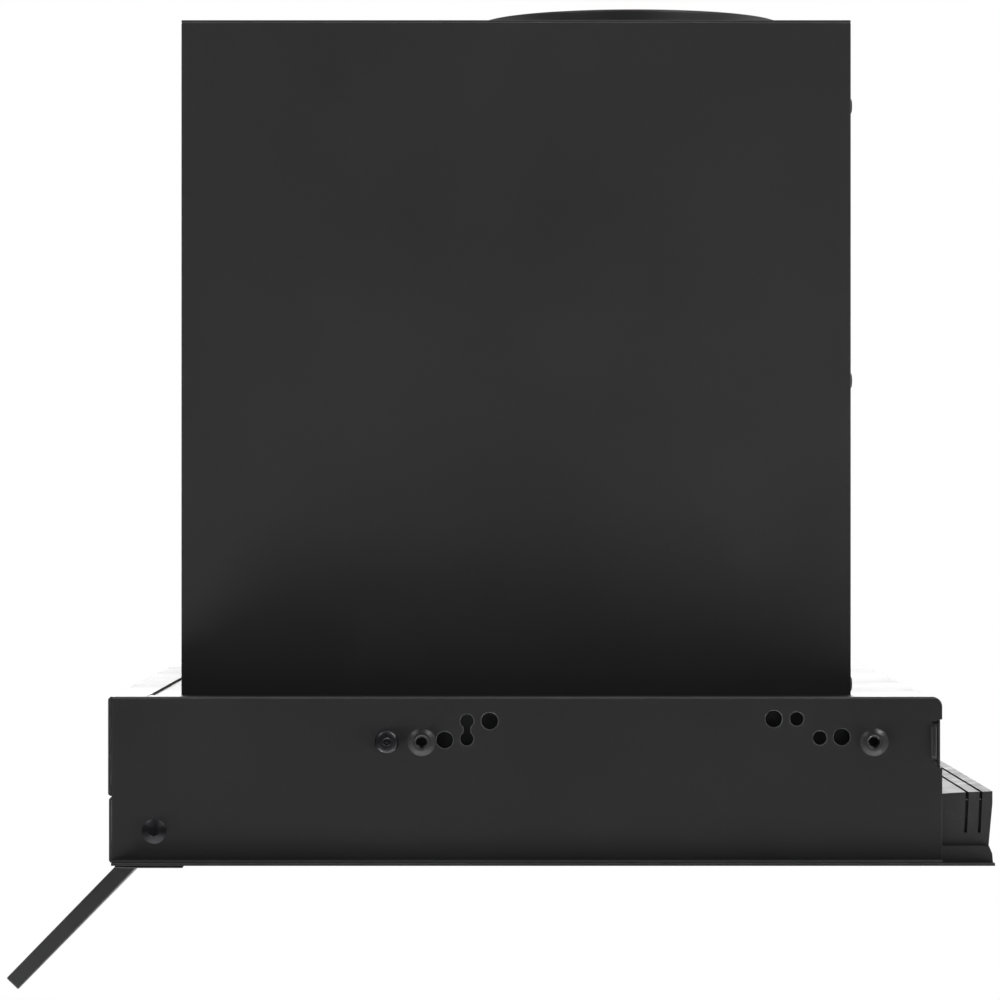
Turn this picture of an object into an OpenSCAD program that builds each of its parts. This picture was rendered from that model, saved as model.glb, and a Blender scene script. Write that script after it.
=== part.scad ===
// Built-in cooker hood with a fold-out visor. Front is -Y, up is +Z.
// The origin is midway between the two side fixing pairs that hold the hood in its gap.

/* [Canopy] */
// Overall width, lip to lip
overall_w = 598; // [560:1:620]
// Depth of the canopy, front face to rear face
canopy_d = 282; // [276:1:300]
// Height of the canopy above its bottom rim
canopy_h = 57; // [52:1:70]
// How far the bottom lip stands out of the side
lip_out = 2.5; // [1.5:0.5:4]
// Fillet where the lip leaves the side
lip_fillet = 1.2; // [0.5:0.1:2]
// Sheet thickness
sheet = 1; // [0.8:0.1:1.5]
// Height of the joint between the front panel and the trim below it
trim_joint_z = 23; // [21:0.1:28]
// Depth of the rear spacer
spacer_d = 17.6; // [12:0.1:20]

/* [Side fixings] */
// Distance of the front fixing hole from the front face
fix_front_y = 106; // [104:0.5:108]
// Distance between the two fixing holes of a side
fix_pitch = 153; // [150:0.5:155]
// Height of the fixing holes above the rim
fix_z = 41.7; // [40:0.1:44]
// Diameter of the fixing holes
fix_hole_d = 4; // [3.5:0.1:4.5]

/* [Motor housing] */
// Width of the motor housing
housing_w = 558; // [550:1:562]
// Depth of the motor housing
housing_d = 228.8; // [227:0.1:232]
// Distance of the housing from the front face of the canopy
housing_front = 23.6; // [22:0.1:25]
// Height of the housing top above the rim
housing_top_z = 287.5; // [285:0.5:292]

/* [Duct] */
// Outer diameter of the collar that the duct slips over
collar_d = 120; // [118:1:125]
// Height of the collar above the housing
collar_h = 26.5; // [22:0.5:32]
// Distance of the collar's axis from the front face
collar_y = 184.5; // [183:0.5:186]

/* [Visor] */
// Distance of the pivot from the front face
pivot_y = 15.5; // [15:0.1:16]
// Height of the pivot above the rim
pivot_z = 11.5; // [11:0.1:12]
// Angle of the open visor below the horizontal
visor_angle = 45.8; // [44:0.1:50]
// Length from the pivot to the free edge
visor_l = 71.2; // [60:0.1:74]
// Thickness of the visor
visor_t = 5.5; // [4.5:0.1:5.8]

/* [Hidden] */
$fn = 64;

LEFT = -1;
RIGHT = 1;

// Canopy
side_x = overall_w / 2 - lip_out;
inner_x = side_x - sheet;
lip_inset = 4.5;
top_flange = 13;
deck_z = canopy_h - 2 * sheet;
fix_mid_y = fix_front_y + fix_pitch / 2;
adjust_holes = [[113.8, 42.4, 5.8], [129, 48.8, 5.8], [225, 49.5, 5.8], [248, 43.4, 5.8],
                [232.8, 49.5, 4.8], [240.6, 43.1, 4.8]];
dumbbell_y = 121.3;
dumbbell_z = [42.8, 48.8];
rivet_y = 94.2;
fixing_dome_r = 4.6;
rear_notch_z = [33, 49.3];
rear_notch_d = 1.8;
relief_z = [35.2, 48.3];
dumbbell_r = 2.35;
dumbbell_slot = 2.4;

// Underside
panel_z = 19;
panel_front = 26;
panel_rear = canopy_d - 2;
visor_clear = 1;
wall_x = 281.5;

// Grease filters
filter_x = 8;
filter_w = 268;
filter_y = 95;
filter_rear = 268.5;
filter_z = 15.5;
filter_t = 8;
filter_gap = 1.5;
filter_border = 11;
filter_front_border = 20;
hinge_y = 266;
hinge_z = 20.5;
hinge_pin_r = 2;
running_gap = 0.05;
latch_w = 40;
latch_d = 8;
latch_travel = 4;
latch_y = 99;
tongue_w = 16;

// Lamps and controls
lamp_x = 200;
lamp_y = 59;
lamp_r = 29;
control_y = 59;
control_w = 176;
control_d = 24;
button_pitch = 30;
button_w = 22;
button_d = 11;
button_gap = 0.4;

// Duct and dampers
top_z = housing_top_z;
collar_r = collar_d / 2;
collar_wall = 2.2;
flap_z = top_z + 6;
flap_t = 1.2;
flap_r = collar_r - collar_wall - 1;
damper_pin_r = 1.5;
knuckle_r = 3;

// Blower
fan_y = 126;
fan_z = 166;
wheel_r = 72;
wheel_half = 92;
blade_count = 30;
blade_depth = 12;
casing_half = 104;
casing_wall = 2;
scroll_start_r = 79;
scroll_end_r = 113;
tongue_a = 60;
inlet_r = 60;
motor_r = 45;
shaft_r = 4;
exit_half = 54;

// Moves children from the canopy's own corner (front face, bottom rim) to the frame of the part.
module in_frame() translate([0, -fix_mid_y, -fix_z]) children();

module on_side(side) mirror([side < 0 ? 1 : 0, 0, 0]) children();

module both_sides() {
    children();
    mirror([1, 0, 0]) children();
}

module rod_x(r, l) rotate([0, 90, 0]) cylinder(r = r, h = l, center = true);
module rod_y(r, l) rotate([90, 0, 0]) cylinder(r = r, h = l, center = true);

// A box from one corner to the opposite one.
module span(low, high) translate(low) cube(high - low);

// Extrudes an outline drawn in (y, z) along x, from x0 to x1.
module along_x(x0, x1)
    translate([x0, 0, 0]) rotate([90, 0, 90]) linear_extrude(x1 - x0) children();

// Extrudes an outline drawn in (x, z) along y, from y0 to y1.
module along_y(y0, y1)
    translate([0, y1, 0]) rotate([90, 0, 0]) linear_extrude(y1 - y0) children();

function arc(cx, cy, r, a0, a1, n) = [for (i = [0:n]) let (a = a0 + (a1 - a0) * i / n)
    [cx + r * cos(a), cy + r * sin(a)]];

module rounded_rect(w, h, r) {
    square([w - 2 * r, h], center = true);
    square([w, h - 2 * r], center = true);
    for (x = [-1, 1], y = [-1, 1])
        translate([x * (w / 2 - r), y * (h / 2 - r)]) circle(r);
}

// Canopy sheets

// Section of a side: top flange, flat side, fillet and lip, drawn in (x, z).
module side_section() {
    polygon(concat(
        [[side_x - top_flange, canopy_h], [side_x - 0.6, canopy_h], [side_x, canopy_h - 0.6]],
        arc(side_x + lip_fillet, sheet + lip_fillet, lip_fillet, 180, 270, 6),
        [[overall_w / 2, sheet], [overall_w / 2, 0], [side_x - lip_inset, 0], [side_x - lip_inset, sheet],
         [inner_x, sheet], [inner_x, canopy_h - sheet], [side_x - top_flange, canopy_h - sheet]]
    ));
}

// Outline of a side in (y, z), with the rounded rear corner.
module side_outline() {
    corner_r = 3.4;
    polygon(concat(
        [[sheet + 0.2, -1], [canopy_d, -1]],
        arc(canopy_d - corner_r, canopy_h - corner_r, corner_r, 0, 90, 8),
        [[sheet + 0.2, canopy_h]]
    ));
}

module side_holes() {
    for (h = adjust_holes)
        translate([side_x, h[0], h[1]]) rod_x(h[2] / 2, 12);
    for (z = dumbbell_z)
        translate([side_x, dumbbell_y, z]) rod_x(dumbbell_r, 12);
    span([side_x - 6, dumbbell_y - dumbbell_slot / 2, dumbbell_z[0]],
         [side_x + 6, dumbbell_y + dumbbell_slot / 2, dumbbell_z[1]]);
    for (y = [fix_front_y, fix_front_y + fix_pitch])
        translate([side_x, y, fix_z]) rod_x(fix_hole_d / 2, 12);
    translate([side_x, rivet_y, fix_z]) rod_x(1.6, 12);
    translate([side_x, pivot_y, pivot_z]) rod_x(3, 12);
}

// Notch in the rear edge, with a bend relief at each end.
module rear_notch() {
    span([inner_x - 3, canopy_d - rear_notch_d, rear_notch_z[0]], [side_x + 3, canopy_d + 1, rear_notch_z[1]]);
    for (z = relief_z) hull() {
        translate([side_x, canopy_d - rear_notch_d - 1.2, z]) rod_x(0.7, 12);
        translate([side_x, canopy_d - rear_notch_d, z]) rod_x(0.45, 12);
    }
}

// Raised ring around a fixing hole, pressed out of the sheet.
module fixing_dome(y) {
    translate([side_x - 0.01, y, fix_z]) rotate([0, 90, 0]) dome_head(fixing_dome_r, 0.9);
}

module side_panel(side) color([0.09, 0.09, 0.095]) in_frame() on_side(side)
    difference() {
        union() {
            intersection() {
                along_y(0, canopy_d) side_section();
                along_x(side_x - 40, side_x + 10) side_outline();
            }
            fixing_dome(fix_front_y);
            fixing_dome(fix_front_y + fix_pitch);
        }
        side_holes();
        rear_notch();
        span([0, -1, canopy_h - 5], [inner_x, top_flange + 0.3, canopy_h + 1]);
        span([0, -1, -1], [bracket_x + 1.6, 26, sheet + 0.1]);
    }

// Upper front panel: a face over the edges of the sides, and two flanges between them.
module front_panel() color([0.1, 0.1, 0.105]) in_frame() {
    along_x(-side_x, side_x) polygon([
        [0, trim_joint_z + 1], [0, canopy_h - 0.8], [0.8, canopy_h], [sheet, canopy_h],
        [sheet, trim_joint_z + 0.4], [0.8, trim_joint_z + 0.4]
    ]);
    along_x(-inner_x, inner_x) {
        translate([sheet - 0.1, canopy_h - sheet]) square([top_flange - sheet, sheet]);
        translate([sheet - 0.1, trim_joint_z + 0.4]) square([6, sheet]);
    }
}

// Lower front trim, set back from the panel above by a third of a millimetre.
module front_trim() color([0.11, 0.11, 0.115]) in_frame() {
    along_x(-side_x, side_x) polygon([
        [0.3, 1.6], [0.3, trim_joint_z - 0.7], [0.9, trim_joint_z], [sheet + 0.1, trim_joint_z],
        [sheet + 0.1, 1], [0.8, 0.9]
    ]);
    along_x(-inner_x, inner_x) {
        translate([sheet, trim_joint_z - sheet]) square([6, sheet]);
        translate([sheet, 1]) square([1.2, 0.8]);
    }
}

module canopy_deck() color([0.1, 0.1, 0.105]) in_frame()
    difference() {
        span([-inner_x, sheet + 0.5, deck_z], [inner_x, canopy_d - 1.5, canopy_h - sheet]);
        span([-250, 38, deck_z - 1], [250, 240, canopy_h]);
    }

// Rear panel with a flange along its top, cut back behind the notch of each side.
module rear_panel() color([0.08, 0.08, 0.085]) in_frame()
    difference() {
        along_x(-inner_x, inner_x) polygon([
            [canopy_d - sheet - 0.4, sheet + 0.1], [canopy_d - 0.4, sheet + 0.1], [canopy_d - 0.4, deck_z],
            [canopy_d - 12, deck_z], [canopy_d - 12, deck_z - sheet], [canopy_d - sheet - 0.4, deck_z - sheet]
        ]);
        both_sides() span([inner_x - 2.4, canopy_d - 3, rear_notch_z[0]], [side_x, canopy_d + 1, rear_notch_z[1]]);
    }

// Upright walls at the sides of the filters, which close the way of the air towards the sides.
module plenum_walls() color([0.5, 0.51, 0.53]) in_frame() both_sides()
    span([wall_x, panel_front + 4, panel_z + sheet], [wall_x + sheet, canopy_d - 14, deck_z]);

module filter_opening() {
    span([filter_x - filter_gap, filter_y - filter_gap, panel_z - 1],
         [filter_x + filter_w + filter_gap, filter_rear + 3.7, panel_z + 3]);
    span([filter_x - 5.3, hinge_y - 3, panel_z - 1], [filter_x + filter_w + 5.3, hinge_y + 3, panel_z + 3]);
}

module underside_panel() color([0.12, 0.12, 0.125]) in_frame()
    difference() {
        union() {
            span([-inner_x, panel_front, panel_z], [inner_x, panel_rear, panel_z + sheet]);
            span([-inner_x, panel_front, panel_z], [inner_x, panel_front + sheet, panel_z + 8]);
            span([-inner_x, panel_rear - sheet, panel_z], [inner_x, panel_rear, panel_z + 12]);
        }
        both_sides() filter_opening();
        both_sides() translate([lamp_x, lamp_y, panel_z]) cylinder(r = lamp_r - 3, h = 8, center = true);
        span([-control_w / 2 + 4, control_y - control_d / 2 + 3, panel_z - 1],
             [control_w / 2 - 4, control_y + control_d / 2 - 3, panel_z + 3]);
    }

// Ears above the panel that hold the filters' hinge pins.
module filter_hinge_ears() color([0.3, 0.3, 0.31]) in_frame() both_sides()
    for (x = [filter_x - 4.5, filter_x + filter_w + 2.5])
        difference() {
            union() {
                span([x, hinge_y - 5, panel_z + sheet], [x + 2, hinge_y + 8, panel_z + sheet + 4.5]);
                span([x, hinge_y - 5, panel_z + sheet], [x + 2, hinge_y + 5, hinge_z + 5]);
            }
            translate([x, hinge_y, hinge_z]) rod_x(hinge_pin_r + running_gap, 8);
        }

// Bracket inside each side that carries the visor's pivot, with a foot under the lip.
bracket_x = side_x - 4.5;
module pivot_bracket(side) color([0.2, 0.2, 0.21]) in_frame() on_side(side)
    difference() {
        union() {
            span([bracket_x, 2.4, -0.8], [bracket_x + 1.5, 25.4, trim_joint_z - sheet - 0.5]);
            span([bracket_x, 2.4, -0.8], [overall_w / 2 - 0.6, 25.4, -0.05]);
        }
        translate([side_x, pivot_y, pivot_z]) rod_x(2.5 + running_gap, 30);
    }

// Strips riveted inside the sides, which take the cabinet screws.
module hanger_brackets() color([0.62, 0.63, 0.65]) in_frame() both_sides()
    difference() {
        span([inner_x - 2, rivet_y - 8, fix_z - 7], [inner_x, fix_front_y + fix_pitch + 9, fix_z + 7 - 2]);
        for (y = [fix_front_y, fix_front_y + fix_pitch])
            translate([inner_x, y, fix_z]) rod_x(fix_hole_d / 2, 12);
        translate([inner_x, rivet_y, fix_z]) rod_x(1.6, 12);
        for (h = adjust_holes)
            translate([inner_x, h[0], h[1]]) rod_x(h[2] / 2 + 0.6, 12);
        span([inner_x - 3, dumbbell_y - 3, fix_z - 2], [inner_x + 1, dumbbell_y + 3, fix_z + 9]);
    }

// Motor housing
housing_x = housing_w / 2;
housing_back_y = housing_front + housing_d;
base_z = canopy_h - sheet;

// Front and both sides in one folded sheet.
module housing_wrap() color([0.1, 0.1, 0.105]) in_frame()
    difference() {
        span([-housing_x, housing_front, base_z], [housing_x, housing_back_y, top_z - sheet]);
        span([-housing_x + sheet, housing_front + sheet, base_z - 1],
             [housing_x - sheet, housing_back_y + 1, top_z + 1]);
    }

module housing_top() color([0.1, 0.1, 0.105]) in_frame()
    difference() {
        union() {
            span([-housing_x, housing_front, top_z - sheet], [housing_x, housing_back_y, top_z]);
            both_sides() span([housing_x - 2 * sheet, housing_front + 6, top_z - 14],
                              [housing_x - sheet, housing_back_y - 6, top_z]);
        }
        translate([0, collar_y, top_z]) cylinder(r = exit_half + 1, h = 8, center = true);
        translate([gland_x, gland_y, top_z]) cylinder(r = 8, h = 8, center = true);
        translate([0, collar_y, top_z]) collar_screw_places() cylinder(r = 1.7, h = 8, center = true);
    }

module housing_back() color([0.09, 0.09, 0.095]) in_frame()
    difference() {
        span([-housing_x + sheet, housing_back_y - sheet, base_z],
             [housing_x - sheet, housing_back_y, top_z - sheet]);
        for (z = back_rivet_z) both_sides()
            translate([housing_x - 6, housing_back_y, z]) rod_y(1.6, 8);
    }

back_rivet_z = [60.5, 164.4, 258.5];

module dome_head(r, h) {
    ball_r = (r * r + h * h) / (2 * h);
    intersection() {
        translate([0, 0, h - ball_r]) sphere(ball_r);
        cylinder(r = r, h = h);
    }
}

// Low-headed rivets that hold the back to the wrap's rear flanges.
module back_rivets() color([0.15, 0.15, 0.155]) in_frame() both_sides()
    for (z = back_rivet_z)
        translate([housing_x - 6, housing_back_y, z]) rotate([-90, 0, 0]) {
            dome_head(2.8, 0.8);
            translate([0, 0, -2]) cylinder(r = 1.6, h = 2);
        }

// Duct collar: flange, tube with a rolled edge, and the seat that the dampers close on.
module duct_collar() color([0.07, 0.07, 0.075]) in_frame() translate([0, collar_y, top_z])
    difference() {
        union() {
            rotate_extrude($fn = 128) polygon(concat(
                [[exit_half, 0], [collar_r + 6, 0], [collar_r + 6, 2.4], [collar_r, 2.4]],
                arc(collar_r - 1, collar_h - 1, 1, 0, 90, 4),
                [[collar_r - collar_wall, collar_h], [collar_r - collar_wall, 5], [exit_half, 5]]
            ));
            collar_screw_places() cylinder(r = 6, h = 2.4);
            both_sides() translate([exit_half - 1, 0, 6 + flap_t / 2]) rod_x(4, 8);
        }
        translate([0, 0, 6 + flap_t / 2]) rod_x(damper_pin_r, 2 * (exit_half + 3));
        collar_screw_places() cylinder(r = 1.7, h = 10, center = true);
    }

module collar_screw_places()
    for (a = [45:90:315]) rotate([0, 0, a]) translate([collar_r + 6, 0, 0]) children();

module damper_pin() color([0.7, 0.7, 0.72]) in_frame()
    translate([0, collar_y, flap_z + flap_t / 2]) rod_x(damper_pin_r, 2 * (exit_half + 3));

// Half disc with three knuckles on the pin; the other half's knuckles lie in its gaps.
module damper_flap(side, knuckles) color([0.13, 0.13, 0.135]) in_frame()
    translate([0, collar_y, flap_z]) {
        difference() {
            cylinder(r = flap_r, h = flap_t, $fn = 128);
            translate([-100, side > 0 ? -200 + knuckle_r + 0.5 : -knuckle_r - 0.5, -1]) cube([200, 200, 4]);
            both_sides() translate([exit_half - 1, 0, flap_t / 2]) rod_x(4.6, 9);
        }
        for (x = knuckles)
            translate([x, 0, flap_t / 2])
                difference() {
                    union() {
                        rod_x(knuckle_r, 12);
                        span([-6, side > 0 ? 0 : -knuckle_r - 2, -flap_t / 2],
                             [6, side > 0 ? knuckle_r + 2 : 0, flap_t / 2]);
                    }
                    rod_x(damper_pin_r + running_gap, 14);
                }
    }

// Blower

// Outline of the scroll in (y, z) around the wheel's axis, grown by extra: the spiral, then the exit.
function spiral_r(a) = scroll_start_r + (scroll_end_r - scroll_start_r) * (a - tongue_a) / (360 - tongue_a);
exit_top = top_z - sheet - 0.5 - fan_z;
exit_y = collar_y - fan_y;
function scroll_outline(extra) = concat(
    [[exit_y - exit_half - extra, exit_top]],
    [for (i = [0:40]) let (a = tongue_a + (360 - tongue_a) * i / 40, r = spiral_r(a) + extra)
        [r * cos(a), r * sin(a)]],
    [[exit_y + exit_half + extra, exit_top]]
);

module scroll_half(side) color([0.2, 0.2, 0.21]) in_frame() on_side(side)
    translate([0, fan_y, fan_z]) difference() {
        union() {
            along_x(0.05, casing_half) difference() {
                polygon(scroll_outline(casing_wall));
                polygon(scroll_outline(0));
                translate([exit_y - exit_half, exit_top - 0.5]) square([2 * exit_half, 4]);
            }
            along_x(casing_half - casing_wall, casing_half) polygon(scroll_outline(0.5));
            along_x(0.05, 3) difference() {
                polygon(scroll_outline(casing_wall + 3));
                polygon(scroll_outline(casing_wall - 0.5));
                translate([exit_y - 100, exit_top - 12]) square([200, 40]);
            }
        }
        translate([casing_half, 0, 0]) rod_x(inlet_r, 20);
    }

// Double-inlet drum wheel: middle disc, two rows of curved blades and an end ring on each row.
module impeller() color([0.25, 0.26, 0.27]) in_frame() translate([0, fan_y, fan_z])
    difference() {
        union() {
            rod_x(wheel_r, 2);
            rod_x(14, 24);
            both_sides() {
                along_x(0.9, wheel_half) for (i = [0:blade_count - 1]) rotate(i * 360 / blade_count)
                    polygon([[wheel_r - blade_depth, -0.6], [wheel_r - 5, 0.9], [wheel_r - 0.5, 4.6],
                             [wheel_r - 0.5, 6], [wheel_r - 5.6, 2.4], [wheel_r - blade_depth, 0.7]]);
                along_x(wheel_half - 3, wheel_half) difference() {
                    circle(wheel_r, $fn = 96);
                    circle(wheel_r - blade_depth, $fn = 96);
                }
            }
        }
        rod_x(shaft_r, 40);
    }

module motor_shaft() color([0.75, 0.75, 0.77]) in_frame()
    translate([-36, fan_y, fan_z]) rod_x(shaft_r, 100);

module motor_ring(x0, x1, r) translate([(x0 + x1) / 2, fan_y, fan_z])
    difference() {
        rod_x(r, x1 - x0);
        rod_x(shaft_r + running_gap, 200);
    }

module motor_stator() color([0.55, 0.56, 0.58]) in_frame() motor_ring(-64, -36, motor_r);
module motor_end_bell_inner() color([0.7, 0.71, 0.73]) in_frame() {
    motor_ring(-36, -24, motor_r - 3);
    motor_ring(-24, -16, 16);
}
module motor_end_bell_outer() color([0.7, 0.71, 0.73]) in_frame() {
    motor_ring(-76, -64, motor_r - 3);
    motor_ring(-84, -76, 16);
}

// Spider across the left inlet that carries the motor.
module motor_bracket() color([0.66, 0.67, 0.69]) in_frame()
    translate([-casing_half, fan_y, fan_z]) difference() {
        union() {
            along_x(-3, -0.05) {
                difference() {
                    circle(inlet_r + 8);
                    circle(inlet_r - 1);
                }
                for (a = [30:120:270]) rotate(a) translate([10, -7]) square([inlet_r - 6, 14]);
                circle(24);
            }
            for (a = [30:120:270]) rotate([a, 0, 0])
                translate([12.5, 32, 0]) rod_x(4, 31);
        }
        rod_x(shaft_r + 3, 20);
    }

// Electrical parts
gland_x = -200;
gland_y = 70;

module capacitor() color([0.85, 0.85, 0.83]) in_frame() {
    translate([-170, 200, 150]) cylinder(r = 17, h = 60);
    translate([-170, 200, 210]) cylinder(r = 8, h = 5);
}

module terminal_box() color([0.16, 0.16, 0.165]) in_frame()
    difference() {
        span([-250, 40, 236], [-150, 100, top_z - sheet - 0.2]);
        span([-248, 38, 238], [-152, 98, top_z - 4]);
        translate([gland_x, gland_y, top_z]) cylinder(r = 6.5, h = 20, center = true);
    }

module terminal_cover() color([0.22, 0.22, 0.225]) in_frame() {
    span([-250, 37.6, 236], [-150, 39.8, top_z - sheet - 0.2]);
    for (x = [-240, -160]) translate([x, 37.6, 261]) rod_y(3.5, 2);
}

// Cable gland in the housing top: body, hexagonal nut and a through hole for the lead.
module cable_gland() color([0.12, 0.12, 0.125]) in_frame() translate([gland_x, gland_y, top_z])
    difference() {
        union() {
            cylinder(r = 10.5, h = 5, $fn = 6);
            translate([0, 0, 5]) cylinder(r1 = 8.5, r2 = 6, h = 6);
            translate([0, 0, -2]) cylinder(r = 6.4, h = 3);
        }
        cylinder(r = 4, h = 40, center = true);
    }

module led_driver() color([0.9, 0.9, 0.88]) in_frame()
    span([110, 32, panel_z + sheet], [168, 62, panel_z + sheet + 22]);

module button_place(i) translate([(i - 2) * button_pitch, control_y, panel_z]) children();

// Bezel of the switch panel, set into the underside.
module control_bezel() color([0.14, 0.14, 0.145]) in_frame()
    difference() {
        union() {
            translate([0, control_y, panel_z - 1.2]) linear_extrude(1.15)
                rounded_rect(control_w, control_d, 5);
            span([-control_w / 2 + 5, control_y - control_d / 2 + 4, panel_z - 1.2],
                 [control_w / 2 - 5, control_y + control_d / 2 - 4, panel_z + 6]);
        }
        for (i = [0:4]) button_place(i)
            translate([0, 0, -3]) linear_extrude(20)
                rounded_rect(button_w + 2 * button_gap, button_d + 2 * button_gap, 2.4);
        translate([80, control_y, panel_z]) cylinder(r = 2.1, h = 30, center = true);
    }

module control_board() color([0.05, 0.3, 0.14]) in_frame()
    span([-control_w / 2 + 2, control_y - control_d / 2, panel_z + 11], [control_w / 2 - 2,
         control_y + control_d / 2, panel_z + 12.6]);

// Push button: rounded cap and a narrower stem that stops short of the board by the travel.
module button(i) color([0.18, 0.18, 0.185]) in_frame() button_place(i) {
    translate([0, 0, -2]) linear_extrude(6) rounded_rect(button_w, button_d, 2);
    translate([0, 0, 4]) cylinder(r = 3, h = 4);
}

module indicator_lens() color([0.9, 0.3, 0.2]) in_frame()
    translate([80, control_y, panel_z - 1.5]) cylinder(r = 2, h = 9);

// Lamps
module lamp_bodies() color([0.8, 0.8, 0.8]) in_frame() both_sides() translate([lamp_x, lamp_y, panel_z + sheet])
    difference() {
        union() {
            cylinder(r = lamp_r - 1, h = 3);
            cylinder(r = lamp_r - 6, h = 16);
        }
        translate([0, 0, -1]) cylinder(r = lamp_r - 8, h = 14);
    }

module lamp_bezel(side) color([0.8, 0.8, 0.82]) in_frame() on_side(side)
    translate([lamp_x, lamp_y, panel_z]) rotate_extrude($fn = 96) polygon([
        [lamp_r - 6, -0.4], [lamp_r - 5, -1.6], [lamp_r - 1, -1.6], [lamp_r, -0.8], [lamp_r, -0.05],
        [lamp_r - 3.2, -0.05], [lamp_r - 3.2, 0.9], [lamp_r - 6, 0.9]
    ]);

module lamp_lens(side) color([0.95, 0.95, 0.9]) in_frame() on_side(side)
    translate([lamp_x, lamp_y, panel_z - 0.6]) cylinder(r = lamp_r - 6.1, h = 1.5);

// Grease filters
module filter_frame(side) color([0.7, 0.71, 0.72]) in_frame() on_side(side) {
    difference() {
        span([filter_x, filter_y, filter_z], [filter_x + filter_w, filter_rear, filter_z + filter_t]);
        span([filter_x + filter_border, filter_y + filter_front_border, filter_z - 1],
             [filter_x + filter_w - filter_border, filter_rear - filter_border, filter_z + filter_t + 1]);
        translate([filter_x + filter_w / 2, latch_y, filter_z]) {
            span([-latch_w / 2 - 0.4, -0.4, -1], [latch_w / 2 + 0.4, latch_d + latch_travel + 0.4, 7]);
            span([-tongue_w / 2 - 0.4, -10, 4.6], [tongue_w / 2 + 0.4, 1, 6.8]);
        }
    }
    for (x = [filter_x - 2.3, filter_x + filter_w + 2.3])
        translate([x, hinge_y, hinge_z]) rod_x(hinge_pin_r, 5);
}

module filter_mesh(side) color([0.78, 0.79, 0.8]) in_frame() on_side(side)
    span([filter_x + filter_border, filter_y + filter_front_border, filter_z + 2.5],
         [filter_x + filter_w - filter_border, filter_rear - filter_border, filter_z + 4.5]);

// Sliding latch in the frame's front bar: body, finger grip below and tongue towards the panel's edge.
module filter_latch(side) color([0.12, 0.12, 0.125]) in_frame() on_side(side)
    translate([filter_x + filter_w / 2, latch_y, filter_z]) {
        span([-latch_w / 2, 0, 0], [latch_w / 2, latch_d, 6.6]);
        span([-latch_w / 2 + 6, 2, -1.6], [latch_w / 2 - 6, 4.4, 0.1]);
        span([-tongue_w / 2, filter_y - filter_gap + 0.3 - latch_y, 4.9], [tongue_w / 2, 1, 6.5]);
    }

// Visor, drawn along +y from its pivot in the closed position and turned to its open rest.
visor_x = bracket_x - visor_clear;
end_w = 9;
visor_offset = 1.6;
visor_wall = 1.2;
module visor_frame() in_frame() translate([0, pivot_y, pivot_z]) rotate([180 + visor_angle, 0, 0]) children();

// Section of the visor in (y, z): a flat bar with a rounded free edge, from the root to the tip.
module visor_section(root, thick, tip) {
    tip_r = 0.5;
    translate([0, visor_offset]) polygon(concat(
        [[root, -thick / 2]],
        arc(tip - tip_r, -thick / 2 + tip_r, tip_r, -90, 0, 6),
        arc(tip - tip_r, thick / 2 - tip_r, tip_r, 0, 90, 6),
        [[root, thick / 2]]
    ));
}

// Hollow bar between the two ends.
module visor_panel() color([0.11, 0.11, 0.115]) visor_frame()
    along_x(-visor_x + end_w, visor_x - end_w) difference() {
        visor_section(8, visor_t, visor_l);
        translate([8 + visor_wall, visor_offset - visor_t / 2 + visor_wall])
            square([visor_l - 8 - 2.5 * visor_wall, visor_t - 2 * visor_wall]);
    }

module visor_end(side) color([0.08, 0.08, 0.085]) visor_frame() on_side(side)
    difference() {
        union() {
            along_x(visor_x - end_w, visor_x) visor_section(0, visor_t, visor_l);
            translate([visor_x - end_w / 2, 0, 0]) rod_x(5.4, end_w);
        }
        translate([visor_x, 0, 0]) rod_x(2.5 + running_gap, 2 * end_w - 4);
    }

// Shoulder screws through the sides and brackets, on which the visor turns.
module visor_pivot_screws() color([0.2, 0.2, 0.205]) in_frame() both_sides()
    translate([side_x, pivot_y, pivot_z]) {
        difference() {
            rotate([0, 90, 0]) dome_head(4.2, 1.1);
            translate([1.2, 0, 0]) rotate([0, 90, 0]) cylinder(r = 1.7, h = 3, center = true, $fn = 6);
        }
        translate([-6, 0, 0]) rod_x(2.5, 12);
    }

// Rear spacer with two break-off strips: hollow bars side by side, joined by a web at the foot of the
// grooves between them and scored at the ends. Its base and lip carry on the line of the canopy's rim.
spacer_x = side_x;
spacer_end = spacer_x - 1.2;
spacer_gaps = [8.1, 12.7];
module spacer_outline() {
    polygon([
        [0, 6.5], [0, 24.2], [7, 24.6], [spacer_d - 0.5, 25], [spacer_d - 0.5, 21],
        [spacer_d - 1.6, 9], [spacer_d - 1.8, 6.5]
    ]);
}
module rear_spacer() color([0.08, 0.08, 0.085]) in_frame() translate([0, canopy_d, 0])
    difference() {
        union() {
            along_x(-overall_w / 2, overall_w / 2) square([spacer_d, 1]);
            along_x(-spacer_x, spacer_x) polygon([
                [0, 0.5], [0, 6.6], [spacer_d - 1.8, 6.6], [spacer_d - 0.7, 4], [spacer_d - 0.4, 0.5]
            ]);
            along_x(-spacer_end, spacer_end) intersection() {
                spacer_outline();
                union() {
                    translate([0, 6.5]) square([1.5, 30]);
                    for (y = spacer_gaps) {
                        translate([y - 1.5, 6.5]) square([1.5, 30]);
                        translate([y + 1, 6.5]) square([1.3, 30]);
                    }
                    translate([spacer_d - 2.4, 6.5]) square([2.4, 30]);
                    translate([0, 21]) square([spacer_d, 10]);
                }
            }
            both_sides() along_x(spacer_end - 3, spacer_end) spacer_outline();
        }
        for (y = spacer_gaps) {
            along_x(-spacer_x, spacer_x) translate([y, 22]) square([1, 10]);
            both_sides() along_x(spacer_end - 1.4, spacer_x)
                polygon([[y, 24], [y + 1, 24], [y + 0.4, 11], [y - 0.6, 11]]);
        }
    }

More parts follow.
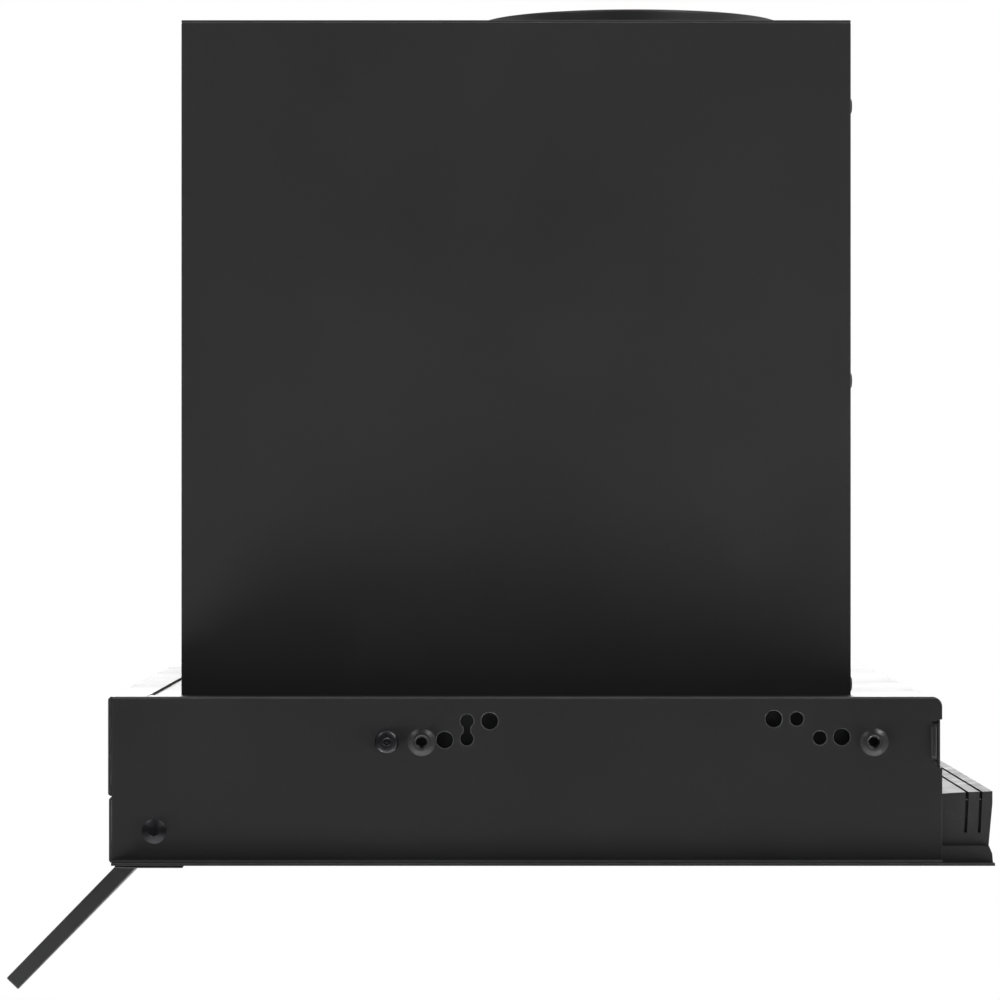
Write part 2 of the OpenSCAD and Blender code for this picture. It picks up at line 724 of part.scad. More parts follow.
// Blind rivets that hold the hanger strips.
module side_rivets() color([0.3, 0.3, 0.31]) in_frame() both_sides()
    translate([side_x, rivet_y, fix_z]) {
        difference() {
            rotate([0, 90, 0]) dome_head(4, 1.1);
            rod_x(1, 6);
        }
        translate([-2, 0, 0]) rod_x(1.6, 4);
    }

// Pan-head screws in the housing top: four hold the collar and four hang the blower.
module housing_screws() color([0.35, 0.35, 0.36]) in_frame() {
    translate([0, collar_y, top_z + 2.4]) collar_screw_places() {
        dome_head(3.2, 1.8);
        translate([0, 0, -6]) cylinder(r = 1.7, h = 6);
    }
    both_sides() for (y = [64, 238])
        translate([casing_half - 6, y, top_z]) dome_head(3.6, 1.6);
}

side_panel(LEFT);  // side_panel_left
side_panel(RIGHT);  // side_panel_right
front_panel();
front_trim();
canopy_deck();
rear_panel();
underside_panel();
pivot_bracket(LEFT);  // pivot_bracket_left
pivot_bracket(RIGHT);  // pivot_bracket_right
filter_hinge_ears();
hanger_brackets();
plenum_walls();
housing_wrap();
housing_top();
housing_back();
duct_collar();
damper_pin();
damper_flap(-1, [-38, -12, 14]);  // damper_flap_front
damper_flap(1, [-25, 1, 27]);  // damper_flap_rear
scroll_half(LEFT);  // scroll_casing_left
scroll_half(RIGHT);  // scroll_casing_right
impeller();
motor_shaft();
motor_stator();
motor_end_bell_inner();
motor_end_bell_outer();
motor_bracket();
capacitor();
terminal_box();
terminal_cover();
cable_gland();
led_driver();
control_bezel();
control_board();
button(0);  // button_power
button(1);  // button_speed_1
button(2);  // button_speed_2
button(3);  // button_speed_3
button(4);  // button_light
indicator_lens();
lamp_bodies();
lamp_bezel(LEFT);  // lamp_bezel_left
lamp_bezel(RIGHT);  // lamp_bezel_right
lamp_lens(LEFT);  // lamp_lens_left
lamp_lens(RIGHT);  // lamp_lens_right
filter_frame(LEFT);  // filter_frame_left
filter_frame(RIGHT);  // filter_frame_right
filter_mesh(LEFT);  // filter_mesh_left
filter_mesh(RIGHT);  // filter_mesh_right
filter_latch(LEFT);  // filter_latch_left
filter_latch(RIGHT);  // filter_latch_right
visor_panel();
visor_end(LEFT);  // visor_end_left
visor_end(RIGHT);  // visor_end_right
visor_pivot_screws();
rear_spacer();
side_rivets();
back_rivets();
housing_screws();
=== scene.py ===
"""Built-in cooker hood with a fold-out visor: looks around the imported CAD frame. Front is -Y, up is +Z."""

import math
import random

import bmesh
import bpy
from mathutils import Matrix, Vector


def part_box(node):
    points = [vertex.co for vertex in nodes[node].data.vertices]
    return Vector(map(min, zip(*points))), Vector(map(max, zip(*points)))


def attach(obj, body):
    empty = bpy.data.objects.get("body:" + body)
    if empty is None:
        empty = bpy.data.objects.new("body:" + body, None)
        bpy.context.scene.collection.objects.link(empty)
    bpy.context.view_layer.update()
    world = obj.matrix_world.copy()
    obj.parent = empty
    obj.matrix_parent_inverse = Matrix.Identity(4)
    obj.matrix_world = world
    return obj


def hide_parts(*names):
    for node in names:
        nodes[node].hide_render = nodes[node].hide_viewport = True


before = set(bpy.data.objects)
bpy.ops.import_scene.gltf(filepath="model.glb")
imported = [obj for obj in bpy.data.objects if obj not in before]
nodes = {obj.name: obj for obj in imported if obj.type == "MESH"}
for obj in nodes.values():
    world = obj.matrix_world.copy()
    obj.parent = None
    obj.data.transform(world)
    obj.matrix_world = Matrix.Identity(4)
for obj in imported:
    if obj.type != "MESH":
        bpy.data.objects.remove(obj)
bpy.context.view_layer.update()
scene = bpy.context.scene

MM = 0.001
HOUSING_TOP_Z = 287.5
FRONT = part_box("front_panel")[0].y
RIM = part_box("side_panel_right")[0].z
UP, DOWN = Vector((0, 0, 1)), Vector((0, 0, -1))


def at(x, y, z):
    """A point given in mm from the hood's middle, its front face and its bottom rim."""
    return Vector((x * MM, FRONT + y * MM, RIM + z * MM))


def middle(node):
    low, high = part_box(node)
    return (low + high) / 2


# ---------------------------------------------------------------- camera

camera_data = bpy.data.cameras.new("camera")
camera_data.sensor_width = 36
camera_data.lens = 170.4
camera_data.clip_start, camera_data.clip_end = 0.05, 50
camera = bpy.data.objects.new("camera", camera_data)
scene.collection.objects.link(camera)
camera.location = at(1896.5, 132.5, 123.5)
camera.rotation_euler = (math.pi / 2, 0, math.pi / 2)
scene.camera = camera
scene.view_settings.view_transform = "Standard"

# ---------------------------------------------------------------- materials


class Finish:
    """A procedural material: a Principled shader and the node layers that feed it."""

    def __init__(self, name, **sockets):
        self.mat = bpy.data.materials.new(name)
        self.mat.use_nodes = True
        self.tree = self.mat.node_tree
        self.shader = self.tree.nodes["Principled BSDF"]
        for key, value in sockets.items():
            self.shader.inputs[key.replace("_", " ")].default_value = value
        self.coord = self.tree.nodes.new("ShaderNodeTexCoord").outputs["Object"]
        self.normal = None

    def node(self, kind, links=None, values=None, **props):
        made = self.tree.nodes.new("ShaderNode" + kind)
        for key, value in props.items():
            setattr(made, key, value)
        for key, value in (values or {}).items():
            made.inputs[key].default_value = value
        for key, value in (links or {}).items():
            self.tree.links.new(value, made.inputs[key])
        return made

    def stretched(self, stretch):
        return self.node("Mapping", {"Vector": self.coord}, {"Scale": stretch}).outputs[0]

    def noise(self, scale, detail=3.0, rough=0.5, stretch=None):
        vector = self.stretched(stretch) if stretch else self.coord
        made = self.node("TexNoise", {"Vector": vector}, {"Scale": scale, "Detail": detail, "Roughness": rough})
        return made.outputs["Fac"]

    def cells(self, scale, output="Distance"):
        return self.node("TexVoronoi", {"Vector": self.coord}, {"Scale": scale}).outputs[output]

    def bands(self, scale, axis):
        made = self.node("TexWave", {"Vector": self.coord}, {"Scale": scale, "Distortion": 0.0}, bands_direction=axis)
        return made.outputs["Fac"]

    def span(self, value, low, high, out_low=0.0, out_high=1.0):
        made = self.node("MapRange", {"Value": value}, {"From Min": low, "From Max": high,
                                                        "To Min": out_low, "To Max": out_high})
        return made.outputs["Result"]

    def math(self, operation, a, b):
        made = self.node("Math", operation=operation)
        for socket, value in zip(made.inputs, (a, b)):
            if isinstance(value, (int, float)):
                socket.default_value = value
            else:
                self.tree.links.new(value, socket)
        return made.outputs[0]

    def mix(self, factor, a, b):
        made = self.node("Mix", {"Factor": factor}, data_type="RGBA")
        for socket, value in ((made.inputs[6], a), (made.inputs[7], b)):
            if isinstance(value, tuple):
                socket.default_value = (*value, 1.0)
            else:
                self.tree.links.new(value, socket)
        return made.outputs[2]

    def bump(self, height, depth, strength=1.0):
        """Adds a relief of depth mm on top of the ones before it."""
        links = {"Height": height}
        if self.normal:
            links["Normal"] = self.normal
        made = self.node("Bump", links, {"Strength": strength, "Distance": depth * MM})
        self.normal = made.outputs[0]

    def edges(self, radius=0.7):
        """1 along convex and concave edges, 0 on flat faces."""
        rounded = self.node("Bevel", values={"Radius": radius * MM}, samples=4).outputs[0]
        flat = self.node("NewGeometry").outputs["Normal"]
        dot = self.node("VectorMath", {0: rounded, 1: flat}, operation="DOT_PRODUCT").outputs["Value"]
        return self.span(dot, 0.995, 0.93)

    def done(self, colour, roughness):
        self.tree.links.new(colour, self.shader.inputs["Base Color"])
        self.tree.links.new(roughness, self.shader.inputs["Roughness"])
        if self.normal:
            self.tree.links.new(self.normal, self.shader.inputs["Normal"])
        return self.mat


def powder_coat(name, dark, light, rough, peel, edge_wear_and_highlight, **sockets):
    """Fine powder paint: orange peel, dust-fine grain, rubbed spots, and edges made glossier and painted lighter,
    partly rubbed paint and partly a painted edge highlight.
    """
    f = Finish(name, **sockets)
    large = f.noise(7, 4, 0.6)
    fine = f.noise(900, 2, 0.6)
    handled = f.span(f.noise(38, 5, 0.65), 0.56, 0.74)
    blend = f.math("ADD", f.math("MULTIPLY", large, 0.55), f.math("MULTIPLY", fine, 0.45))
    colour = f.mix(f.span(blend, 0.3, 0.7), dark, light)
    # lighter paint along convex and concave edges: part rubbed paint, part painted edge highlight
    edge = f.math("MULTIPLY", f.edges(), f.span(f.noise(140, 4, 0.6), 0.35, 0.6, 0.3, 1.0))
    colour = f.mix(edge, colour, edge_wear_and_highlight)
    roughness = f.span(f.noise(16, 4, 0.55), 0.3, 0.7, *rough)
    roughness = f.math("ADD", roughness, f.math("MULTIPLY", handled, 0.05))
    roughness = f.math("SUBTRACT", roughness, f.math("MULTIPLY", edge, 0.08))
    f.bump(f.noise(3.2, 2, 0.4), 0.15, 0.35)
    f.bump(f.noise(520, 2, 0.5), peel)
    f.bump(f.noise(2600, 2, 0.6), peel * 0.35)
    return f.done(colour, roughness)


def moulded_plastic(name, dark, light, rough, grain, depth, **sockets):
    """Spark-eroded moulding: fine pits, faint flow marks."""
    f = Finish(name, **sockets)
    colour = f.mix(f.span(f.noise(11, 4, 0.6), 0.3, 0.7), dark, light)
    roughness = f.span(f.noise(60, 4, 0.6), 0.3, 0.7, *rough)
    f.bump(f.cells(grain), depth)
    f.bump(f.noise(grain * 2.1, 3, 0.6), depth * 0.6)
    f.bump(f.noise(24, 2, 0.4, stretch=(1, 3, 0.4)), 0.06, 0.5)
    return f.done(colour, roughness)


def brushed_metal(name, dark, light, rough, stretch, depth=0.01, **sockets):
    """Metal with drawn or brushed lines and faint stains."""
    f = Finish(name, Metallic=1.0, **sockets)
    lines = f.noise(420, 3, 0.65, stretch=stretch)
    stain = f.noise(26, 5, 0.6)
    colour = f.mix(f.span(f.math("ADD", f.math("MULTIPLY", lines, 0.6), f.math("MULTIPLY", stain, 0.4)),
                          0.3, 0.7), dark, light)
    roughness = f.span(f.math("ADD", f.math("MULTIPLY", lines, 0.5), f.math("MULTIPLY", stain, 0.5)),
                       0.3, 0.7, *rough)
    f.bump(lines, depth)
    f.bump(f.noise(90, 3, 0.5), 0.03, 0.5)
    return f.done(colour, roughness)


def galvanised(name):
    """Hot-dip zinc with its spangle, each crystal a little lighter or darker."""
    f = Finish(name, Metallic=1.0)
    crystal = f.cells(150, "Color")
    grey = f.node("SeparateColor", {0: crystal}).outputs[0]
    frost = f.noise(700, 3, 0.6)
    colour = f.mix(f.math("ADD", f.math("MULTIPLY", grey, 0.75), f.math("MULTIPLY", frost, 0.25)),
                   (0.16, 0.165, 0.175), (0.28, 0.285, 0.295))
    roughness = f.span(f.math("ADD", f.math("MULTIPLY", grey, 0.6), f.math("MULTIPLY", frost, 0.4)),
                       0.2, 0.8, 0.3, 0.52)
    f.bump(f.cells(150), 0.003, 0.3)
    f.bump(frost, 0.005)
    return f.done(colour, roughness)


def cast_metal(name):
    f = Finish(name, Metallic=0.9)
    pebble = f.noise(260, 4, 0.6)
    colour = f.mix(f.span(pebble, 0.3, 0.7), (0.38, 0.39, 0.4), (0.52, 0.53, 0.54))
    f.bump(pebble, 0.09)
    f.bump(f.noise(1500, 2, 0.5), 0.02)
    return f.done(colour, f.span(f.noise(80, 4, 0.6), 0.3, 0.7, 0.42, 0.6))


def laminated_steel(name):
    """Stack of punched sheets seen on its rim."""
    f = Finish(name, Metallic=0.85)
    sheets = f.bands(320, "X")
    rust = f.span(f.noise(55, 5, 0.65), 0.58, 0.75)
    colour = f.mix(sheets, (0.16, 0.165, 0.18), (0.34, 0.345, 0.36))
    colour = f.mix(f.math("MULTIPLY", rust, 0.5), colour, (0.13, 0.07, 0.04))
    f.bump(sheets, 0.12)
    return f.done(colour, f.span(sheets, 0, 1, 0.36, 0.55))


def circuit_board(name):
    """Green solder resist with copper tracks under it and bare pads."""
    f = Finish(name, Specular_IOR_Level=0.6)
    tracks = f.node("TexBrick", {"Vector": f.coord}, {"Scale": 130.0, "Mortar Size": 0.03}).outputs["Fac"]
    pads = f.span(f.cells(260), 0.16, 0.12)
    colour = f.mix(tracks, (0.004, 0.06, 0.025), (0.015, 0.13, 0.05))
    colour = f.mix(f.math("MULTIPLY", pads, 0.8), colour, (0.55, 0.55, 0.5))
    f.bump(tracks, 0.04)
    return f.done(colour, f.span(f.noise(90, 3, 0.5), 0.3, 0.7, 0.25, 0.42))


def glossy_moulding(name, dark, light, rough):
    """High-gloss moulding with hairline scratches and finger marks."""
    f = Finish(name, Coat_Weight=0.25, Coat_Roughness=0.06)
    marks = f.span(f.noise(70, 5, 0.65), 0.52, 0.7)
    hairs = f.span(f.noise(260, 2, 0.4, stretch=(1, 14, 1)), 0.62, 0.7)
    colour = f.mix(f.span(f.noise(20, 3, 0.5), 0.3, 0.7), dark, light)
    roughness = f.math("ADD", f.span(marks, 0, 1, *rough), f.math("MULTIPLY", hairs, 0.08))
    f.bump(f.noise(45, 2, 0.4), 0.03, 0.4)
    f.bump(hairs, 0.004)
    return f.done(colour, roughness)


def plated(name):
    f = Finish(name, Metallic=1.0)
    haze = f.noise(120, 4, 0.6)
    colour = f.mix(f.span(haze, 0.3, 0.7), (0.72, 0.73, 0.75), (0.8, 0.81, 0.82))
    f.bump(f.noise(60, 2, 0.4), 0.02, 0.4)
    return f.done(colour, f.span(haze, 0.3, 0.75, 0.07, 0.2))


def frosted_lens(name, tint, deep, **sockets):
    """Etched translucent plastic with a fine prismatic grain."""
    f = Finish(name, IOR=1.49, **sockets)
    etch = f.cells(1500)
    colour = f.mix(f.span(f.noise(40, 3, 0.5), 0.3, 0.7), tint, deep)
    f.bump(etch, 0.05)
    return f.done(colour, f.span(etch, 0.0, 0.6, 0.34, 0.5))


M = {
    # the last colour of each powder coat is its lighter edge tone: part rubbed paint, part painted edge highlight
    "canopy_paint": powder_coat("canopy_paint", (0.0076, 0.0076, 0.0079), (0.0108, 0.0108, 0.0112),
                                (0.34, 0.42), 0.035, (0.03, 0.03, 0.031)),
    "housing_paint": powder_coat("housing_paint", (0.0105, 0.0105, 0.0108), (0.014, 0.014, 0.0145),
                                 (0.33, 0.42), 0.03, (0.028, 0.028, 0.029)),
    "visor_skin": powder_coat("visor_skin", (0.011, 0.011, 0.0113), (0.015, 0.015, 0.0154),
                              (0.3, 0.38), 0.025, (0.035, 0.035, 0.036)),
    "black_plastic": moulded_plastic("black_plastic", (0.009, 0.009, 0.0095), (0.014, 0.014, 0.0145),
                                     (0.42, 0.54), 1500, 0.014),
    "gloss_black": glossy_moulding("gloss_black", (0.005, 0.005, 0.0055), (0.008, 0.008, 0.0085), (0.07, 0.2)),
    "button_plastic": moulded_plastic("button_plastic", (0.018, 0.018, 0.019), (0.025, 0.025, 0.026),
                                      (0.34, 0.44), 2400, 0.02),
    "grey_plastic": moulded_plastic("grey_plastic", (0.07, 0.072, 0.075), (0.095, 0.097, 0.1),
                                    (0.42, 0.52), 1500, 0.03),
    "white_plastic": moulded_plastic("white_plastic", (0.66, 0.65, 0.62), (0.76, 0.755, 0.73),
                                     (0.36, 0.46), 1400, 0.02),
    "galvanised": galvanised("galvanised"),
    "bright_steel": brushed_metal("bright_steel", (0.5, 0.51, 0.53), (0.66, 0.67, 0.68), (0.2, 0.34), (0.1, 1, 1)),
    "black_steel": brushed_metal("black_steel", (0.035, 0.035, 0.038), (0.075, 0.075, 0.08), (0.3, 0.44),
                                 (1, 1, 0.3)),
    "filter_aluminium": brushed_metal("filter_aluminium", (0.4, 0.41, 0.42), (0.56, 0.57, 0.58), (0.26, 0.42),
                                      (0.06, 1, 1), 0.012),
    "lamp_chrome": plated("lamp_chrome"),
    "lamp_glass": frosted_lens("lamp_glass", (0.82, 0.82, 0.79), (0.9, 0.9, 0.87), Transmission_Weight=0.25),
    "die_cast": cast_metal("die_cast"),
    "stator_steel": laminated_steel("stator_steel"),
    "board_green": circuit_board("board_green"),
    "indicator_red": frosted_lens("indicator_red", (0.32, 0.012, 0.01), (0.5, 0.03, 0.02),
                                  Transmission_Weight=0.3),
}

for node in nodes.values():
    for place in node.material_slots:
        place.material = M[place.material.name]

# ---------------------------------------------------------------- rounded edges of the sheet metal and mouldings


def soften(names, width, segments=2, angle=28):
    """Rounds a CAD node's edges with modifiers; the mesh itself stays as it is."""
    for name in names.split():
        o = nodes[name]
        weld = o.modifiers.new("weld", "WELD")
        weld.merge_threshold = 2e-6
        flat = o.modifiers.new("flat", "DECIMATE")
        flat.decimate_type = "DISSOLVE"
        flat.angle_limit = math.radians(0.5)
        flat.delimit = {"NORMAL"}
        edge = o.modifiers.new("edge", "BEVEL")
        edge.width = width * MM
        edge.segments = segments
        edge.limit_method = "ANGLE"
        edge.angle_limit = math.radians(angle)
        edge.use_clamp_overlap = True
        shade = o.modifiers.new("shade", "WEIGHTED_NORMAL")
        shade.weight = 80


soften("side_panel_left side_panel_right rear_panel pivot_bracket_left pivot_bracket_right hanger_brackets", 0.25)
soften("front_panel front_trim canopy_deck underside_panel housing_wrap housing_top housing_back", 0.3)
soften("visor_panel visor_end_left visor_end_right", 0.5, 3)
soften("rear_spacer control_bezel terminal_box terminal_cover led_driver", 0.3)
soften("filter_frame_left filter_frame_right duct_collar", 0.8, 3)
soften("motor_bracket motor_end_bell_inner motor_end_bell_outer cable_gland", 0.6)
soften("filter_hinge_ears control_board damper_flap_front damper_flap_rear scroll_casing_left scroll_casing_right",
       0.25)

# ---------------------------------------------------------------- mesh tools


def piece(name, shape, body, slot, sharp=35, material=None):
    """Turns a bmesh or mesh into an object of the scene that rides on a body."""
    if isinstance(shape, bmesh.types.BMesh):
        mesh = bpy.data.meshes.new(name)
        bmesh.ops.recalc_face_normals(shape, faces=shape.faces)
        shape.to_mesh(mesh)
        shape.free()
    else:
        mesh = shape
    mesh.shade_smooth()
    mesh.set_sharp_from_angle(angle=math.radians(sharp))
    mesh.materials.clear()
    mesh.materials.append(M[material or slot])
    obj = bpy.data.objects.new(name, mesh)
    scene.collection.objects.link(obj)
    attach(obj, body)
    return obj


def frame_of(origin, axis, spin=0.0):
    """Matrix that takes local +Z along axis, at origin."""
    turn = Vector(axis).to_track_quat("Z", "Y").to_matrix().to_4x4()
    return Matrix.Translation(origin) @ turn @ Matrix.Rotation(math.radians(spin), 4, "Z")


def loft(bm, rings, place=Matrix(), cap=(True, True), closed=True):
    """Skins a list of rings, each a list of (x, y, z) in mm."""
    rows = [[bm.verts.new(place @ (Vector(p) * MM)) for p in ring] for ring in rings]
    count = len(rings[0])
    for a, b in zip(rows, rows[1:]):
        for i in range(count if closed else count - 1):
            j = (i + 1) % count
            bm.faces.new((a[i], a[j], b[j], b[i]))
    if cap[0]:
        bm.faces.new(list(reversed(rows[0])))
    if cap[1]:
        bm.faces.new(rows[-1])


def circle(r, z, count=48):
    return [(r * math.cos(2 * math.pi * i / count), r * math.sin(2 * math.pi * i / count), z) for i in range(count)]


def lathe(bm, profile, place=Matrix(), count=48, ring=False):
    """Turns a profile of (radius, height) in mm about the local Z axis; ring closes it on itself."""
    if ring:
        loft(bm, [circle(r, z, count) for r, z in [*profile, profile[0]]], place, (False, False))
        bmesh.ops.remove_doubles(bm, verts=bm.verts, dist=1e-7)
    else:
        loft(bm, [circle(r, z, count) for r, z in profile], place)


def oblong(w, d, r, z, steps=6):
    """Outline of a rounded rectangle."""
    points = []
    for sx, sy, start in ((1, 1, 0), (-1, 1, 90), (-1, -1, 180), (1, -1, 270)):
        for i in range(steps + 1):
            a = math.radians(start + 90 * i / steps)
            points.append((sx * (w / 2 - r) + r * math.cos(a), sy * (d / 2 - r) + r * math.sin(a), z))
    return points


def rounded_bar(bm, w, d, h, r, place, edge=0.3):
    """A bar w by d by h with rounded plan corners and a rounded top edge."""
    small = max(r - edge, 0.05)
    loft(bm, [oblong(w, d, r, 0), oblong(w, d, r, h - edge),
              oblong(w - 0.6 * edge, d - 0.6 * edge, max(r - 0.3 * edge, 0.05), h - 0.3 * edge),
              oblong(w - 2 * edge, d - 2 * edge, small, h)], place)


def tube(points, radius, closed=False, sides=4):
    """Mesh of a round bar along points (metres)."""
    data = bpy.data.curves.new("path", "CURVE")
    data.dimensions = "3D"
    data.bevel_depth = radius * MM
    data.bevel_resolution = sides
    data.use_fill_caps = True
    spline = data.splines.new("POLY")
    spline.points.add(len(points) - 1)
    for p, q in zip(spline.points, points):
        p.co = (*q, 1)
    spline.use_cyclic_u = closed
    carrier = bpy.data.objects.new("path", data)
    mesh = bpy.data.meshes.new_from_object(carrier)
    bpy.data.objects.remove(carrier)
    bpy.data.curves.remove(data)
    return mesh


def add_mesh(bm, mesh):
    bm.from_mesh(mesh)
    bpy.data.meshes.remove(mesh)


def carve(bm, cutter):
    """Cuts one closed bmesh out of another and returns the result as a mesh."""
    made = []
    for source in (bm, cutter):
        mesh = bpy.data.meshes.new("carve")
        bmesh.ops.recalc_face_normals(source, faces=source.faces)
        source.to_mesh(mesh)
        source.free()
        o = bpy.data.objects.new("carve", mesh)
        scene.collection.objects.link(o)
        made.append(o)
    cut = made[0].modifiers.new("cut", "BOOLEAN")
    cut.object = made[1]
    cut.solver = "EXACT"
    cut.use_self = True
    bpy.context.view_layer.update()
    result = bpy.data.meshes.new_from_object(made[0].evaluated_get(bpy.context.evaluated_depsgraph_get()))
    for o in made:
        bpy.data.objects.remove(o)
    return result


# ---------------------------------------------------------------- screws and rivets


def cross_screws(name, places, r, h, slot="black_steel", body="hood"):
    """Pan-head screws with a cross recess."""
    heads, cutter = bmesh.new(), bmesh.new()
    for origin, axis, spin in places:
        place = frame_of(origin, axis, spin)
        lathe(heads, [(r * 0.98, 0), (r, 0.12 * h), (r, 0.4 * h), (r * 0.95, 0.62 * h), (r * 0.82, 0.83 * h),
                      (r * 0.6, 0.95 * h), (r * 0.3, h), (r * 0.05, h)], place, 40)
        for turn in (0, 90):
            blade = place @ Matrix.Rotation(math.radians(turn), 4, "Z")
            loft(cutter, [oblong(0.5 * r, 0.16 * r, 0.05 * r, 0.35 * h, 2),
                          oblong(1.15 * r, 0.28 * r, 0.1 * r, 1.2 * h, 2)], blade)
    return piece(name, carve(heads, cutter), body, slot)


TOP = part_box("housing_top")[1].z
collar_low, collar_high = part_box("duct_collar")
collar_axis = Vector((0, (collar_low.y + collar_high.y) / 2, 0))
rng = random.Random(7)
screw_low, screw_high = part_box("housing_screws")
collar_places, blower_places = [], []
for a in (45, 135, 225, 315):
    d = Vector((math.cos(math.radians(a)), math.sin(math.radians(a)), 0)) * 66 * MM
    collar_places.append((collar_axis + d + Vector((0, 0, TOP + 2.4 * MM)), UP, rng.uniform(0, 90)))
for x in (screw_low.x + 3.6 * MM, screw_high.x - 3.6 * MM):
    for y in (screw_low.y + 3.6 * MM, screw_high.y - 3.6 * MM):
        blower_places.append((Vector((x, y, TOP)), UP, rng.uniform(0, 90)))
collar_heads = cross_screws("collar_screw_heads", collar_places, 3.2, 1.8)
cross_screws("blower_screw_heads", blower_places, 3.6, 1.6)
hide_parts("housing_screws")


def rivets(name, node, r, h, axis_of, slot):
    """Blind rivets: a domed flange with a rolled rim and the broken stem sunk in its bore."""
    bm = bmesh.new()
    for origin, axis in axis_of:
        lathe(bm, [(0.97 * r, 0), (r, 0.14 * h), (0.97 * r, 0.42 * h), (0.84 * r, 0.74 * h), (0.66 * r, 0.94 * h),
                   (0.5 * r, h), (0.36 * r, 0.98 * h), (0.3 * r, 0.8 * h), (0.28 * r, 0.3 * h), (0.24 * r, 0.24 * h),
                   (0.2 * r, 0.4 * h), (0.1 * r, 0.48 * h), (0.02 * r, 0.5 * h)], frame_of(origin, axis), 40)
    made = piece(name, bm, "hood", slot)
    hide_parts(node)
    return made


side_low, side_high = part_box("side_rivets")
rivet_y, rivet_z = (side_low.y + side_high.y) / 2, (side_low.z + side_high.z) / 2
face_x = side_high.x - 1.1 * MM
rivets("side_rivet_heads", "side_rivets", 4.0, 1.1,
       [(Vector((s * face_x, rivet_y, rivet_z)), (s, 0, 0)) for s in (-1, 1)], "black_steel")
MIDDLE_RIVET_Z = 164.4
back_low, back_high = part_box("back_rivets")
back_x, back_y = back_high.x - 2.8 * MM, back_high.y - 0.8 * MM
rivets("back_rivet_heads", "back_rivets", 2.8, 0.8,
       [(Vector((s * back_x, back_y, z)), (0, 1, 0)) for s in (-1, 1)
        for z in (back_low.z + 2.8 * MM, at(0, 0, MIDDLE_RIVET_Z).z, back_high.z - 2.8 * MM)], "black_steel")

# ---------------------------------------------------------------- holes, pressed rings and notches of the sides


def outline_rim(bm, outline, x, side, radius=0.16):
    """Rolled-over edge of a punched hole, along an outline in (y, z)."""
    points = [Vector((side * (x - 0.06 * MM), at(0, y, 0).y, at(0, 0, z).z)) for y, z in outline]
    add_mesh(bm, tube(points, radius, True, 2))


SHEET_X = abs(face_x)
ROUND_HOLES = ((113.8, 42.4, 5.8), (129, 48.8, 5.8), (225, 49.5, 5.8), (248, 43.4, 5.8), (232.8, 49.5, 4.8),
               (240.6, 43.1, 4.8))
KEY_Y, KEY_Z, KEY_R, KEY_SLOT = 121.3, (42.8, 48.8), 2.35, 1.2
FIXINGS_Y, FIXINGS_Z = (106, 259), 41.7
REAR_Y = 282
NOTCH_MIDDLE_Z, HEM_MIDDLE_Z = 41.15, 41.75


def key_outline(grow):
    """Two round holes joined by a slot."""
    r = KEY_R + grow
    gap = math.degrees(math.asin((KEY_SLOT + grow) / r))
    low, high = KEY_Z
    path = []
    for centre, start in ((low, 90 + gap), (high, 270 + gap)):
        for k in range(25):
            a = math.radians(start + (360 - 2 * gap) * k / 24)
            path.append((KEY_Y + r * math.cos(a), centre + r * math.sin(a)))
    return path


rims, rings, threads = bmesh.new(), bmesh.new(), bmesh.new()
for s in (-1, 1):
    for y, z, d in ROUND_HOLES:
        outline_rim(rims, [(y + (d / 2 + 0.08) * math.cos(2 * math.pi * k / 32),
                            z + (d / 2 + 0.08) * math.sin(2 * math.pi * k / 32)) for k in range(32)], SHEET_X, s)
    outline_rim(rims, key_outline(0.08), SHEET_X, s)
    for y in FIXINGS_Y:
        spot = at(0, y, FIXINGS_Z)
        place = frame_of(Vector((s * SHEET_X, spot.y, spot.z)), (s, 0, 0))
        lathe(rings, [(4.95, -0.4), (4.95, 0.02), (4.7, 0.09), (4.3, 0.27), (3.9, 0.48), (3.5, 0.68), (3.1, 0.86),
                      (2.7, 0.98), (2.35, 1.0), (2.1, 0.82), (2.0, 0.5), (2.0, -0.9)], place, 64, True)
        lathe(threads, [(1.98, -1.1), (1.6, -1.25), (1.98, -1.45), (1.6, -1.7), (1.98, -1.95), (1.6, -2.2),
                        (1.98, -2.45), (1.6, -2.7), (1.98, -2.9)], place, 32, True)
notch_seals, notch_hems = bmesh.new(), bmesh.new()
for s in (-1, 1):
    spot = at(0, REAR_Y - 1.1, NOTCH_MIDDLE_Z)
    rounded_bar(notch_seals, 1.15, 16.1, 1.7, 0.3,
                frame_of(Vector((s * (SHEET_X - 3.3 * MM), spot.y, spot.z)), (s, 0, 0)), 0.25)
    spot = at(0, REAR_Y - 2.75, HEM_MIDDLE_Z)
    rounded_bar(notch_hems, 1.7, 10.6, 0.6, 0.4,
                frame_of(Vector((s * (SHEET_X - 0.15 * MM), spot.y, spot.z)), (s, 0, 0)), 0.35)
piece("notch_seals", notch_seals, "hood", "black_plastic")
piece("notch_hems", notch_hems, "hood", "canopy_paint")
piece("hole_rims", rims, "hood", "canopy_paint", 60)
piece("fixing_rings", rings, "hood", "canopy_paint", 60)
piece("fixing_threads", threads, "hood", "black_steel")

# ---------------------------------------------------------------- underside details

screws = [(at(x, y, 19), DOWN, rng.uniform(0, 90)) for x, y in
          ((-285, 40), (285, 40), (-285, 200), (285, 200), (0, 86), (0, 274), (-120, 40), (120, 40))]
cross_screws("panel_screw_heads", screws, 2.6, 1.2, "black_steel")

# ---------------------------------------------------------------- grease filters


